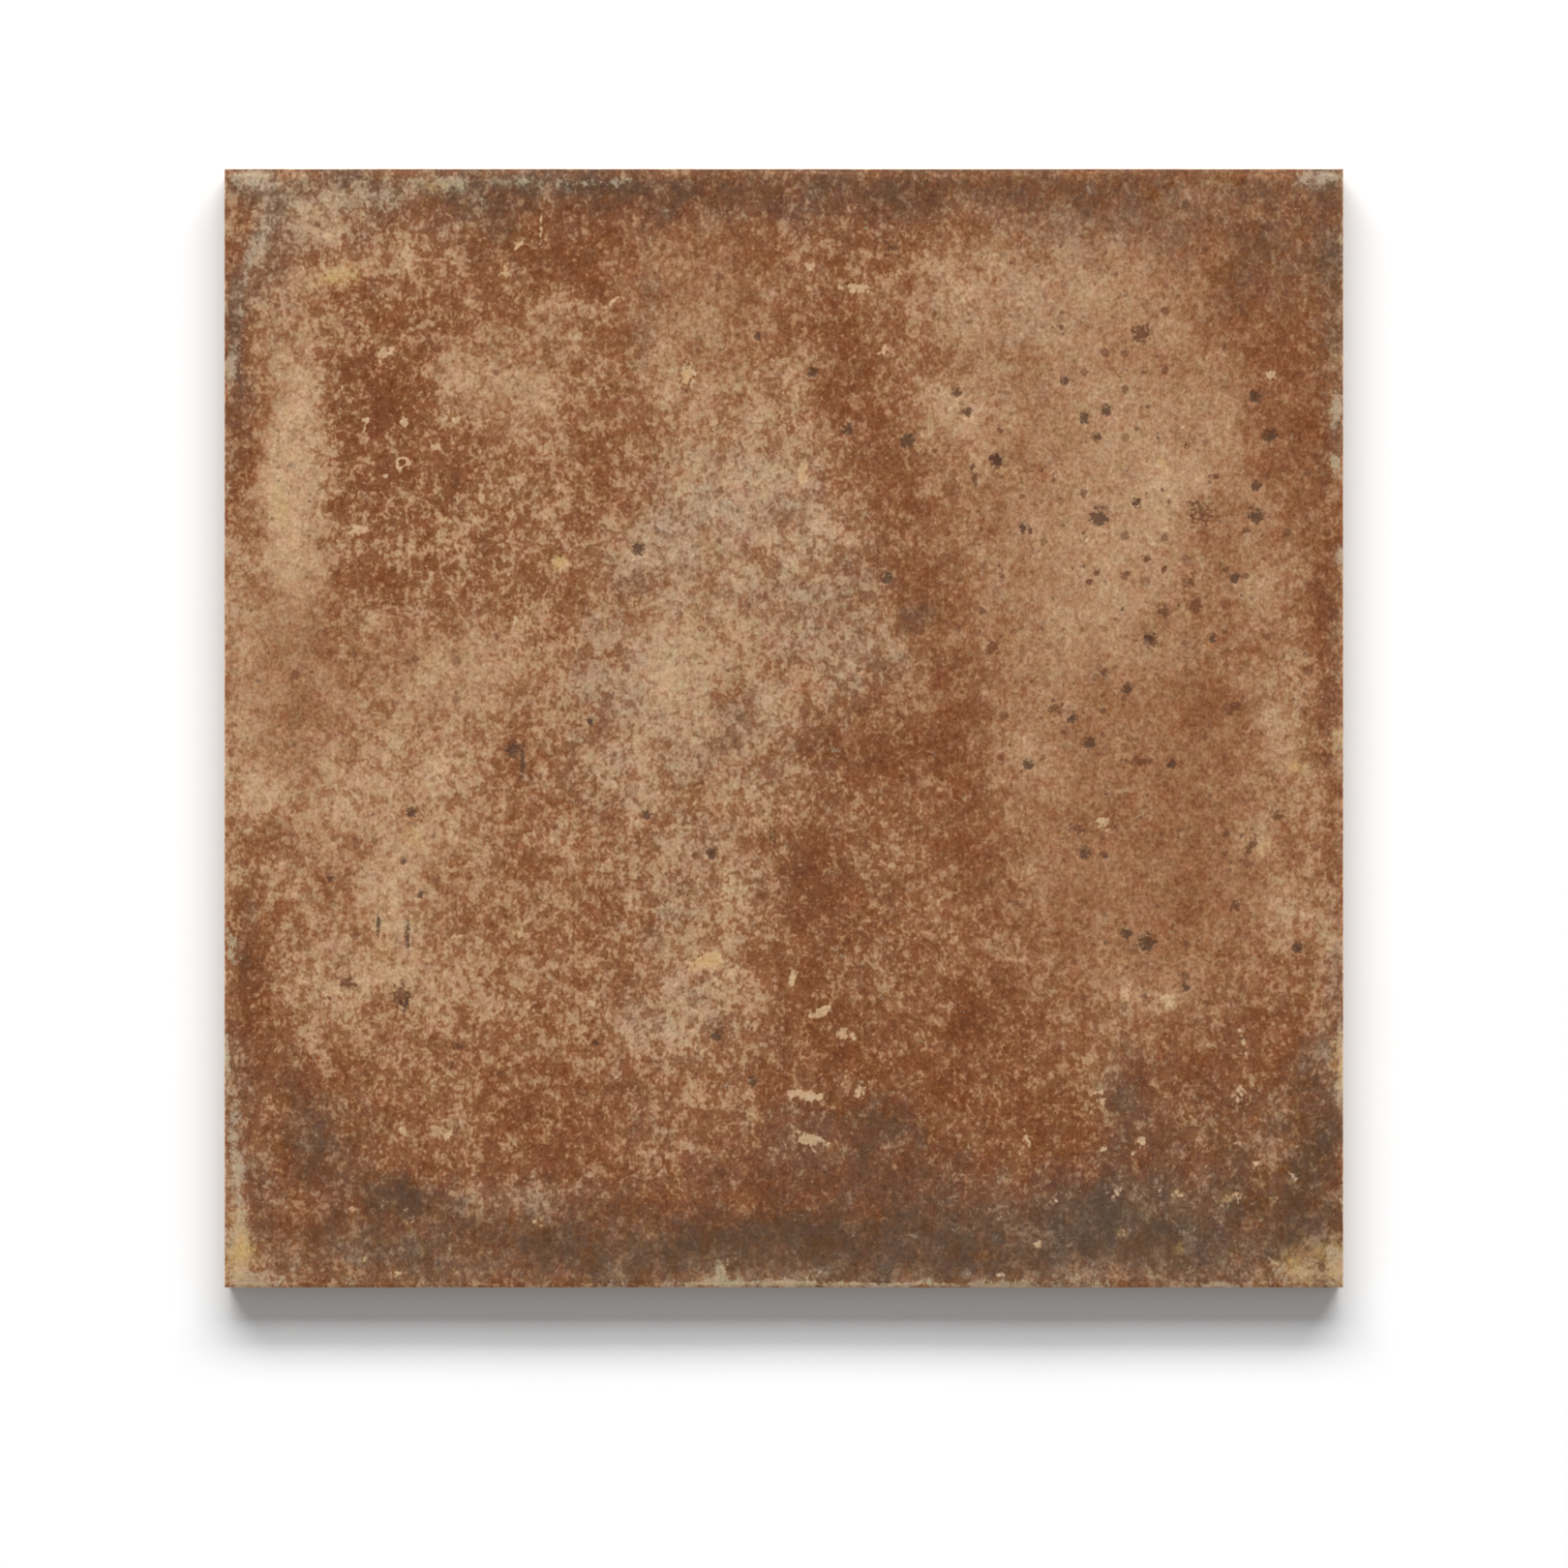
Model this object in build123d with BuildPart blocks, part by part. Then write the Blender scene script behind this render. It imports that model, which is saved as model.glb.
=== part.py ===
from build123d import *
from math import cos, exp, pi, radians, sin
import os

# A square rustic floor tile, pressed and fired in one piece, lying on its back.
# The origin is the middle of the back, +Z is out of the face, lengths are in millimetres.

# Whole tile
side = 331.5  # each side, measured at the joint band
thickness = 9.5  # back to face

# Sides: a drafted foot, then an upright band that meets the joint
foot_height = 4.5  # height of the drafted foot
foot_draft = 0.8  # how far the back's outline stands in from the band
foot_arris = 0.4  # small broken edge round the back

# Worn shoulder between the band and the face
wear_depth = 1.6  # drop from the face to the band
wear_width = 2.4  # mean width of the shoulder on the face
wear_steps = 3  # contours that shape the shoulder's round
wave_height = 0.55  # how far the slow waves move the face's outline
wave_step = 5.0  # spacing of the points that the outline passes through
ripple_share = 0.5  # height of the quick waves beside the slow ones
corner_run = 15.0  # stretch beside each corner over which the waves die away

# Each side of the worn outline: half waves along it, slow then quick, so that no two wear alike,
# and chips in its edge: place along the side, length, width. A side runs counterclockwise.
south_side = ((5, 13), ())
east_side = ((6, 11), ((0.04, 30.0, 2.6), (0.21, 20.0, 1.2), (0.49, 13.0, 2.2), (0.66, 8.0, 1.0)))
north_side = ((7, 16), ())
west_side = ((4, 15), ((0.04, 14.0, 1.0), (0.93, 38.0, 1.5)))

# Keyed back: a grid of shallow square pockets that the bedding mortar fills
key_pairs = 5  # pockets from the middle of the back to each side, so a rib crosses the middle
key_rib = 5.0  # rib left between two pockets
key_depth = 1.0  # depth of a pocket
key_corner = 2.5  # length cut off each corner of a pocket
key_draft = 20.0  # slope of a pocket's walls, in degrees
rim_width = 15.0  # plain rim round the grid

band_top = thickness - wear_depth
foot_side = side - 2 * foot_draft
key_count = 2 * key_pairs
key_pitch = (foot_side - 2 * rim_width + key_rib) / key_count
pocket_side = key_pitch - key_rib


# How far the worn outline is moved in at a place from 0 to 1 along a side; nothing at both corners
def worn_in(place, waves, chips):
    slow, quick = waves
    moved = wave_height * (sin(pi * slow * place) + ripple_share * sin(pi * quick * place))
    for middle, length, width in chips:
        reach = 2 * side * (place - middle) / length
        moved += width * exp(-reach * reach)
    return moved * min(1.0, side * min(place, 1 - place) / corner_run)


# The points of one side of a worn outline, from corner to corner of a square that stands in by
# inset, turned to its place round the tile
def worn_points(inset, share, waves, chips, turn):
    half = side / 2 - inset
    steps = round(side / wave_step)
    points = []
    for step in range(steps + 1):
        place = step / steps
        across = share * worn_in(place, waves, chips) - half
        points.append(Vector(half * (2 * place - 1), across).rotate(Axis.Z, turn))
    return points


with BuildPart() as tile:
    # Drafted foot, from the back's outline out to the band
    with BuildSketch(Plane.XY):
        Rectangle(foot_side, foot_side)
    with BuildSketch(Plane.XY.offset(foot_height)):
        Rectangle(side, side)
    loft(ruled=True)

    # Upright joint band
    with BuildSketch(Plane.XY.offset(foot_height)):
        Rectangle(side, side)
    extrude(amount=band_top - foot_height)

    # Worn shoulder: a quarter round in section, waving in and out along each side
    for step in range(wear_steps + 1):
        angle = radians(90 * step / wear_steps)
        share = 1 - cos(angle)
        with BuildSketch(Plane.XY.offset(band_top + wear_depth * sin(angle))):
            with BuildLine():
                for turn, (waves, chips) in enumerate((south_side, east_side, north_side, west_side)):
                    Spline(*worn_points(wear_width * share, share, waves, chips, 90 * turn))
            make_face()
    loft()

    # Broken edge round the back
    back = tile.faces().sort_by(Axis.Z)[0]
    chamfer(back.outer_wire().edges(), length=foot_arris)

    # Pockets of the keyed back
    with BuildSketch(Plane.XY):
        with GridLocations(key_pitch, key_pitch, key_count, key_count):
            Rectangle(pocket_side, pocket_side)
        chamfer(vertices(), length=key_corner)
    extrude(amount=key_depth, taper=key_draft, mode=Mode.SUBTRACT)

os.makedirs("parts", exist_ok=True)
tile.part.label = "tile"
export_step(tile.part, "parts/tile.step")
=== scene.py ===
import math

import bmesh
import bpy
import numpy as np
from mathutils import Matrix, Vector, noise


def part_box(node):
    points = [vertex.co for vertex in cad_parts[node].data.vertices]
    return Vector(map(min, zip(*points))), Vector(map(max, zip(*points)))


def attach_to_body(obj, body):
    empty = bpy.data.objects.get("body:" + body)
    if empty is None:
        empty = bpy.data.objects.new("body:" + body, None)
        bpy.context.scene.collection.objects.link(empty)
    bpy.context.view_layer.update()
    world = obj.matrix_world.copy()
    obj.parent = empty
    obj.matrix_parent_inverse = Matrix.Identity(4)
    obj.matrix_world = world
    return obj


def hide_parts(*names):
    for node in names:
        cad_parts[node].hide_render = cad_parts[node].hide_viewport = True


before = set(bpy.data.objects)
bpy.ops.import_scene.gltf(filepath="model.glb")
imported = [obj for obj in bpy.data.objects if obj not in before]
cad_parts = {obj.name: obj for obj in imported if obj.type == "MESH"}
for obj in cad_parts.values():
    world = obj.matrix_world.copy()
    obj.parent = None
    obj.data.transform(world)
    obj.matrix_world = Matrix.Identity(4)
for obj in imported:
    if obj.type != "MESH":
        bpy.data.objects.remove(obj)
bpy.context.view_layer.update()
mm = 0.001
hair = 1e-6  # points closer than this are at one place
lyingFlat = 0.9  # how upright a face's normal is before the face counts as flat
halfSide, _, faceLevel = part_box("tile")[1]  # the tile is centred on the origin, its back at zero
print("frame loaded, tile side", round(2 * halfSide, 4), "thickness", round(faceLevel, 4))

# The tile's outline in the photograph, in its 1620 x 1620 pixels
photoTile = {"left": 232.2, "right": 1387.5, "top": 175.0, "bottom": 1330.0}
photoWidth = 1620
metresPerPixel = 2 * halfSide / (photoTile["right"] - photoTile["left"])
photoMiddle = (
    (photoTile["left"] + photoTile["right"]) / 2,
    (photoTile["top"] + photoTile["bottom"]) / 2,
)


# Helpers

def smooth(low, high, value):
    t = np.clip((value - low) / (high - low), 0, 1)
    return t * t * (3 - 2 * t)


def srgb(red, green, blue):
    # a colour as a screen shows it, 0 to 255, turned into what the shader wants
    linear = []
    for channel in (red, green, blue):
        c = channel / 255
        linear.append(c / 12.92 if c <= 0.04045 else ((c + 0.055) / 1.055) ** 2.4)
    return (*linear, 1)


# The tile's mesh

tileShape = {
    "pocketPairs": 5,  # pockets from the middle of the back to each side
    "splits": 25,  # face segments beside each pocket
    "rib": 5.0 * mm,
    "pocketDepth": 1.0 * mm,
    "pocketDraft": 0.364 * mm,
    "pocketCorner": 2.5 * mm,
    "ribRound": 0.35 * mm,
    "rim": 15.0 * mm,
    "footHeight": 4.5 * mm,
    "footDraft": 0.8 * mm,
    "footArris": 0.4 * mm,
    "wearDepth": 1.6 * mm,
    "wearWidth": 2.4 * mm,
    "wearRings": 6,
    "bandRings": 3,
    "waveHeight": 0.55 * mm,
    "rippleShare": 0.5,
    "cornerRun": 15.0 * mm,
    "blend": 9.0 * mm,  # how far the waves of the edge reach into the face
}

# Half waves along each side and the chips in its edge, running counterclockwise from the
# south west corner: place along the side, length, width
wornSides = {
    "south": ((5, 13), ()),
    "east": ((6, 11), ((0.04, 30 * mm, 2.6 * mm), (0.21, 20 * mm, 1.2 * mm),
                       (0.49, 13 * mm, 2.2 * mm), (0.66, 8 * mm, 1.0 * mm))),
    "north": ((7, 16), ()),
    "west": ((4, 15), ((0.04, 14 * mm, 1.0 * mm), (0.93, 38 * mm, 1.5 * mm))),
}
inwards = {"south": (0, 1), "east": (-1, 0), "north": (0, -1), "west": (1, 0)}  # to the middle


def wornIn(place, waves, chips):
    # how far the worn edge stands in at a place from 0 to 1 along its side
    slow, quick = (np.sin(math.pi * count * place) for count in waves)
    moved = tileShape["waveHeight"] * (slow + tileShape["rippleShare"] * quick)
    for middle, length, width in chips:
        reach = 4 * halfSide * (place - middle) / length
        moved = moved + width * np.exp(-reach * reach)
    fade = np.minimum(1, 2 * halfSide * np.minimum(place, 1 - place) / tileShape["cornerRun"])
    return moved * np.clip(fade, 0, 1)


def growRing(bm, edges, reachFrom, reachTo, rise):
    # one more ring of faces round an open loop, scaled out and lifted
    made = bmesh.ops.extrude_edge_only(bm, edges=edges)["geom"]
    verts = [v for v in made if isinstance(v, bmesh.types.BMVert)]
    bmesh.ops.scale(bm, verts=verts, vec=(reachTo / reachFrom, reachTo / reachFrom, 1))
    bmesh.ops.translate(bm, verts=verts, vec=(0, 0, rise))
    return [e for e in made if isinstance(e, bmesh.types.BMEdge)]


def bevelEdges(bm, edges, offset, segments):
    bmesh.ops.bevel(bm, geom=edges, offset=offset, segments=segments, profile=0.5,
                    affect="EDGES", material=-1)


def makeBack(bm):
    # ribs and pockets, the rim, the broken edge and the drafted foot
    shape = tileShape
    cells = 2 * shape["pocketPairs"]
    footSide = halfSide - shape["footDraft"]
    gridHalf = footSide - shape["rim"] + shape["rib"] / 2
    made = bmesh.ops.create_grid(bm, x_segments=cells, y_segments=cells, size=gridHalf,
                                 matrix=Matrix.Rotation(math.pi, 4, "X"))
    cellFaces = list({f for v in made["verts"] for f in v.link_faces})
    bmesh.ops.inset_individual(bm, faces=cellFaces, thickness=shape["rib"] / 2, depth=0)
    bmesh.ops.inset_individual(bm, faces=cellFaces, thickness=shape["pocketDraft"],
                               depth=-shape["pocketDepth"])
    floorVerts = {v for f in cellFaces for v in f.verts}
    corners = [e for v in floorVerts for e in v.link_edges if e.other_vert(v) not in floorVerts]
    bevelEdges(bm, corners, shape["pocketCorner"], 3)
    mouths = [e for e in bm.edges if len(e.link_faces) == 2
              and max(abs(v.co.z) for v in e.verts) < hair
              and min(abs(f.normal.z) for f in e.link_faces) < lyingFlat]
    bevelEdges(bm, mouths, shape["ribRound"], 2)
    innerSide = footSide - shape["footArris"]
    rimEdges = [e for e in bm.edges if e.is_boundary]
    loop = growRing(bm, rimEdges, gridHalf, innerSide, 0)
    bmesh.ops.subdivide_edges(bm, edges=loop, cuts=shape["splits"] - 1)
    loop = [e for e in bm.edges if e.is_boundary]
    loop = growRing(bm, loop, innerSide, footSide, shape["footArris"])
    return growRing(bm, loop, footSide, halfSide, shape["footHeight"] - shape["footArris"])


def makeFace(bm):
    # the face as a fine grid, then the worn shoulder down to the joint band
    shape = tileShape
    segments = 2 * shape["pocketPairs"] * shape["splits"]
    reach = halfSide - shape["wearWidth"]
    made = bmesh.ops.create_grid(bm, x_segments=segments, y_segments=segments, size=reach,
                                 matrix=Matrix.Translation((0, 0, faceLevel)))
    verts = set(made["verts"])
    loop = [e for v in verts for e in v.link_edges if e.is_boundary]
    loop = list(dict.fromkeys(loop))
    level = faceLevel
    for ring in range(1, shape["wearRings"] + 1):
        turn = math.radians(90 * (1 - ring / shape["wearRings"]))
        nextReach = halfSide - shape["wearWidth"] * (1 - math.cos(turn))
        nextLevel = faceLevel - shape["wearDepth"] * (1 - math.sin(turn))
        loop = growRing(bm, loop, reach, nextReach, nextLevel - level)
        reach, level = nextReach, nextLevel
    return loop


def makeBand(bm, lower, upper):
    # the upright joint band between foot and shoulder
    made = bmesh.ops.bridge_loops(bm, edges=lower + upper)
    rungs = [e for e in made["edges"] if abs(e.verts[0].co.z - e.verts[1].co.z) > mm]
    bmesh.ops.subdivide_edges(bm, edges=rungs, cuts=tileShape["bandRings"] - 1, use_grid_fill=True)


# Where the worn finish lies. Each patch: across and down in the photograph's pixels, half width,
# half height, turn in degrees, amount. It fades from its middle outwards.

filmPatches = {
    "leftDriftMiddle": (296, 530, 30, 80, 0, 0.28),
    "leftDriftTop": (304, 400, 26, 60, 0, 0.12),
    "leftDriftNeck": (312, 332, 24, 34, 0, -0.08),
    "cornerFall": (275, 262, 34, 30, 0, -0.12),
    "arcFall": (455, 250, 26, 24, 0, -0.14),
    "northEastFall": (1280, 236, 80, 30, 0, -0.10),
    "northBandFall": (1110, 228, 130, 16, 0, -0.04),
    "leftLowFall": (285, 985, 22, 50, 0, -0.12),
    "lowLeftCrest": (440, 940, 40, 26, 0, 0.12),
    "flagFall": (588, 686, 20, 18, 0, -0.12),
    "leftDriftFoot": (302, 590, 36, 22, 0, 0.12),
    "northVeil": (725, 300, 60, 50, 0, 0.12),
    "northFall": (870, 242, 90, 24, 0, -0.14),
    "shelfSpark": (850, 532, 26, 30, 0, 0.20),
    "eastShelfTop": (962, 408, 56, 26, 0, 0.20),
    "eastFieldHeart": (1210, 500, 44, 44, 0, 0.24),
    "eastFieldSpur": (1302, 600, 22, 54, 0, 0.24),
    "eastEdgeFoot": (1365, 858, 18, 40, 0, 0.20),
    "cornerCream": (325, 222, 36, 24, 0, 0.34),
    "cornerGrey": (268, 250, 16, 46, 8, 0.24),
    "cornerTopPale": (265, 188, 36, 14, 0, 0.30),
    "topPaleArc": (430, 198, 90, 12, -8, 0.28),
    "ochreDrift": (345, 282, 36, 14, -15, 0.30),
    "topLeftMottle": (410, 262, 46, 24, 0, 0.08),
    "saltedTop": (575, 315, 26, 36, 0, 0.06),
    "saltedLeft": (475, 390, 36, 30, 0, 0.16),
    "saltedFall": (492, 322, 24, 34, 0, -0.12),
    "saltedRight": (552, 415, 36, 55, 0, 0.18),
    "emberHeart": (392, 440, 46, 85, 0, -0.22),
    "emberRight": (455, 490, 50, 32, 0, -0.12),
    "emberFoot": (330, 556, 20, 14, 0, -0.14),
    "emberBank": (420, 572, 50, 14, 0, 0.14),
    "emberTop": (420, 322, 50, 18, 0, -0.12),
    "topDeep": (575, 268, 60, 40, 0, -0.13),
    "topDeepEast": (640, 240, 80, 44, 0, -0.14),
    "topDeepDrop": (618, 310, 24, 34, 0, -0.14),
    "midDeep": (625, 455, 38, 46, 0, -0.14),
    "leftFloor": (380, 605, 80, 28, 0, -0.10),
    "leftMargin": (252, 690, 16, 170, 0, 0.16),
    "leftBlush": (300, 640, 40, 22, 0, 0.05),
    "leftBrick": (280, 728, 26, 26, 0, 0.08),
    "flagstone": (480, 700, 76, 50, 0, 0.24),
    "flagDrop": (533, 640, 20, 42, 0, 0.08),
    "flagShade": (585, 645, 24, 30, 0, -0.10),
    "lowLeftTan": (420, 800, 90, 40, 0, 0.26),
    "lowLeftCream": (440, 860, 34, 30, 0, 0.20),
    "lowLeftPatch": (356, 850, 34, 28, 0, 0.30),
    "lowLeftStreak": (404, 935, 30, 60, 0, 0.36),
    "lowLeftFoot": (388, 1012, 30, 24, 0, 0.20),
    "lowLeftVeil": (335, 1010, 44, 56, 0, 0.20),
    "lowLeftEast": (462, 1010, 40, 50, 0, 0.12),
    "leftEdgePale": (262, 810, 26, 40, 0, 0.20),
    "leftEdgeLow": (300, 930, 28, 60, 0, 0.10),
    "leftDark": (258, 1010, 20, 100, 0, -0.26),
    "leftDarkFoot": (296, 1110, 34, 60, 0, -0.24),
    "leftDarkTop": (246, 400, 16, 110, 0, -0.26),
    "crackShade": (540, 778, 14, 26, 0, -0.14),
    "driftNorth": (755, 505, 66, 54, 0, 0.26),
    "driftWest": (690, 560, 50, 50, 0, 0.12),
    "driftElbow": (645, 665, 22, 22, 0, 0.12),
    "driftCore": (722, 752, 24, 28, 0, 0.16),
    "driftBend": (700, 625, 28, 26, 0, 0.12),
    "driftRise": (686, 390, 28, 60, 0, 0.10),
    "driftGap": (755, 888, 44, 20, 0, -0.12),
    "driftHeart": (688, 712, 36, 60, 0, 0.28),
    "driftFoot": (655, 800, 34, 36, 0, 0.22),
    "driftEast": (748, 650, 40, 50, 0, 0.20),
    "driftTongue": (798, 740, 24, 36, 0, 0.20),
    "driftSouth": (768, 810, 34, 40, 0, 0.14),
    "driftShelf": (845, 570, 44, 44, 0, 0.14),
    "driftGrey": (872, 665, 50, 36, 0, 0.20),
    "driftHorn": (826, 440, 20, 50, 0, 0.14),
    "driftCrown": (740, 420, 60, 40, 0, 0.14),
    "driftCap": (815, 388, 22, 16, 0, 0.18),
    "innerRust": (720, 440, 24, 14, 0, -0.14),
    "greyFlank": (610, 690, 40, 60, 0, 0.10),
    "lowDrift": (690, 900, 36, 50, 0, 0.06),
    "lowDriftEast": (755, 905, 36, 34, 0, 0.24),
    "lowDriftHeart": (722, 985, 44, 46, 0, 0.21),
    "lowMidSpark": (630, 908, 18, 22, 0, 0.16),
    "lowMidFall": (515, 950, 24, 50, 0, -0.10),
    "lowDriftFoot": (700, 1050, 50, 34, 0, 0.20),
    "lowDriftTail": (660, 1110, 40, 60, 0, 0.06),
    "lowMidMottle": (560, 930, 50, 60, 0, 0.06),
    "eastValleyTop": (865, 330, 44, 54, 0, -0.18),
    "eastValleyNeck": (900, 430, 46, 50, 0, -0.16),
    "eastValleyMid": (935, 530, 44, 56, 0, -0.16),
    "eastValleyKnee": (960, 620, 40, 40, 0, -0.12),
    "eastValleyStep": (968, 690, 40, 18, 0, -0.14),
    "valleyHead": (905, 775, 70, 34, 0, -0.26),
    "valleyEast": (990, 800, 30, 70, 0, -0.24),
    "valleyWest": (835, 890, 34, 40, 0, -0.26),
    "valleyHeart": (880, 960, 60, 60, 0, -0.20),
    "valleyFlood": (1000, 1050, 66, 36, 0, -0.28),
    "valleyFoot": (860, 1080, 70, 60, 0, -0.24),
    "valleyOutlet": (980, 1130, 90, 40, 0, -0.20),
    "eastFieldTop": (1110, 310, 120, 66, 0, 0.14),
    "eastFieldWest": (1000, 300, 50, 50, 0, 0.14),
    "eastFieldMid": (1150, 440, 90, 70, 0, 0.16),
    "eastFieldShelf": (1000, 450, 36, 44, 0, 0.20),
    "eastFieldLow": (1120, 570, 70, 50, 0, 0.16),
    "eastFieldFoot": (1165, 640, 34, 50, 0, 0.18),
    "eastFieldPale": (1085, 660, 50, 40, 0, 0.12),
    "eastFieldWarm": (1060, 790, 50, 70, 0, 0.12),
    "eastEdgePale": (1338, 770, 20, 70, 0, 0.12),
    "eastEdgeVeil": (1320, 930, 40, 50, 0, 0.12),
    "eastShoulder": (1262, 450, 34, 50, 0, 0.10),
    "eastFloor": (1225, 900, 40, 60, 0, -0.05),
    "eastDeep": (1235, 725, 40, 50, 0, -0.08),
    "eastRim": (1370, 620, 14, 110, 0, -0.22),
    "eastRimLow": (1372, 840, 12, 70, 0, -0.18),
    "eastTopDeep": (1335, 400, 36, 100, 0, -0.20),
    "eastTopFall": (1262, 320, 44, 44, 0, -0.14),
    "eastFloorLow": (1078, 860, 26, 40, 0, -0.10),
    "eastFloorSpark": (1148, 915, 26, 40, 0, 0.10),
    "eastLowSpark": (1308, 868, 20, 20, 0, 0.12),
    "eastFloorFall": (1036, 932, 44, 38, 0, -0.16),
    "eastLowFall": (1320, 1090, 34, 80, 0, -0.12),
    "valleyFootFall": (896, 1098, 26, 50, 0, -0.12),
    "southEastFall": (1118, 1062, 22, 22, 0, -0.10),
    "eastFieldCrest": (1180, 335, 44, 30, 0, 0.08),
    "eastFieldGlow": (1135, 610, 110, 130, 0, 0.07),
    "driftGlow": (715, 690, 80, 90, 0, 0.05),
    "valleyStep": (965, 905, 34, 26, 0, -0.12),
    "shellWest": (1167, 1025, 20, 20, 0, 0.10),
    "shellEast": (1207, 1036, 18, 20, 0, 0.12),
    "southDeep": (575, 1150, 66, 44, 0, -0.22),
    "southDeepWest": (400, 1140, 60, 40, 0, -0.12),
    "southEast": (1240, 1100, 60, 44, 0, -0.18),
    "southMiddle": (1100, 1160, 44, 44, 0, -0.20),
    "southMiddleFoot": (1180, 1195, 36, 30, 0, -0.20),
    "southScuff": (545, 1236, 44, 18, 0, 0.30),
    "southFloor": (800, 1240, 600, 44, 0, -0.22),
    "southTerrace": (900, 1190, 140, 40, 0, -0.14),
    "cornerDip": (247, 243, 14, 20, 0, -0.10),
    "arcDip": (353, 298, 20, 16, 0, -0.12),
    "driftDip": (293, 410, 18, 22, 0, -0.08),
    "pebbleBank": (361, 345, 20, 22, 0, 0.14),
    "saltedDip": (462, 368, 20, 18, 0, -0.12),
    "emberDip": (444, 440, 18, 24, 0, -0.12),
    "emberFootDip": (338, 562, 18, 14, 0, -0.12),
    "fieldDipWest": (959, 296, 22, 20, 0, -0.12),
    "bandDip": (1020, 238, 26, 14, 0, -0.12),
    "bandDipEast": (1171, 243, 26, 14, 0, -0.10),
    "cloudDip": (1323, 296, 20, 24, 0, -0.10),
    "rimDip": (1361, 385, 14, 26, 0, -0.12),
    "neckDip": (899, 463, 20, 18, 0, -0.08),
    "shelfDip": (815, 539, 18, 20, 0, -0.12),
    "driftDipEast": (732, 655, 20, 20, 0, -0.12),
    "fieldFootDip": (1187, 645, 20, 22, 0, -0.14),
    "westDip": (361, 773, 20, 18, 0, -0.12),
    "flagDip": (482, 766, 20, 16, 0, -0.12),
    "eastEdgeDip": (1353, 773, 16, 24, 0, -0.12),
    "crackDip": (800, 857, 14, 26, 0, -0.12),
    "eastLowDip": (1293, 902, 18, 22, 0, -0.10),
    "eastFloorDip": (1217, 948, 24, 20, 0, -0.12),
    "lowMidDip": (580, 1061, 24, 18, 0, -0.18),
    "heartDip": (732, 1023, 24, 16, 0, -0.12),
    "southEastDip": (1205, 1222, 36, 26, 0, -0.16),
    "southWestDip": (368, 1319, 26, 12, 0, -0.14),
    "northCrestEast": (1217, 204, 26, 14, 0, 0.12),
    "northEastCrest": (1350, 192, 24, 12, 0, 0.14),
    "saltedCrest": (505, 289, 20, 16, 0, 0.12),
    "veilCrest": (671, 268, 20, 20, 0, 0.12),
    "fieldCrestEast": (1262, 366, 18, 22, 0, 0.12),
    "shelfCrest": (884, 569, 16, 28, 0, 0.12),
    "westCrest": (336, 614, 22, 16, 0, 0.12),
    "westCrestLow": (322, 690, 20, 24, 0, 0.12),
    "eastEdgeCrest": (1308, 738, 16, 20, 0, 0.12),
    "valleyCrest": (853, 857, 16, 20, 0, 0.12),
    "lowLeftCrestEast": (505, 872, 22, 22, 0, 0.12),
    "floorCrestEast": (1058, 902, 20, 18, 0, 0.12),
    "eastVeilCrest": (1346, 963, 20, 24, 0, 0.16),
    "westRimCrest": (240, 1008, 10, 20, 0, 0.18),
    "floodCrest": (974, 1039, 20, 16, 0, 0.12),
    "southCrestWest": (490, 1236, 20, 14, 0, 0.12),
    "southEastCrest": (1316, 1292, 44, 18, 0, 0.14),
    "cornerSouthWest": (242, 1280, 12, 66, 0, 0.35),
    "cornerSouthEast": (1372, 1320, 22, 10, 0, 0.15),
    "northFloor": (860, 200, 600, 26, 0, -0.17),
}

# Film that ends at a clear edge
filmPlates = {
    "leftDriftPlate": (310, 496, 37, 112, 0, 0.20),
    "leftDriftPlateTop": (302, 360, 24, 80, 0, 0.05),
    "saltedPlate": (520, 402, 78, 58, 25, 0.06),
}

burnPatches = {
    "southBand": (840, 1290, 680, 44, 0, 0.85),
    "southPool": (850, 1265, 90, 26, 0, 0.20),
    "southShelf": (890, 1180, 120, 50, 0, 0.45),
    "southEastCloud": (1175, 1240, 90, 44, 0, 0.35),
    "southEastSmoke": (1245, 1165, 70, 50, 0, 0.40),
    "southEastPool": (1310, 1230, 60, 70, 0, 0.35),
    "southShelfPool": (912, 1160, 34, 24, 0, 0.30),
    "southWestSmoke": (332, 1180, 46, 48, -30, 0.75),
    "southWestPuff": (415, 1234, 44, 20, 15, 0.30),
    "southWestTrail": (410, 1240, 80, 26, 0, 0.36),
    "northBand": (860, 190, 560, 30, 0, 0.52),
    "northKnot": (505, 222, 50, 34, 0, 0.55),
    "northWestSmoke": (244, 250, 12, 70, 0, 0.15),
    "northEastCloud": (1310, 265, 60, 60, 0, 0.50),
    "eastNorthRim": (1374, 300, 20, 140, 0, 0.50),
    "eastSouthRim": (1358, 1170, 36, 110, 0, 0.70),
    "pier": (1165, 1130, 32, 58, 0, 0.38),
    "pierHead": (1180, 975, 16, 12, 0, 0.35),
    "westRim": (256, 970, 14, 60, 0, 0.45),
    "westFoot": (290, 1090, 30, 50, 0, 0.18),
    "smudgeNorth": (905, 598, 16, 12, 0, 0.35),
    "smudgeHeart": (945, 645, 20, 18, 0, 0.50),
    "smudgeWest": (870, 620, 26, 10, -20, 0.35),
    "smudgeEast": (988, 690, 18, 12, 0, 0.35),
    "smudgeSouth": (860, 775, 18, 12, 0, 0.35),
    "westEdgeTop": (240, 410, 9, 80, 0, 0.35),
}

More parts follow.
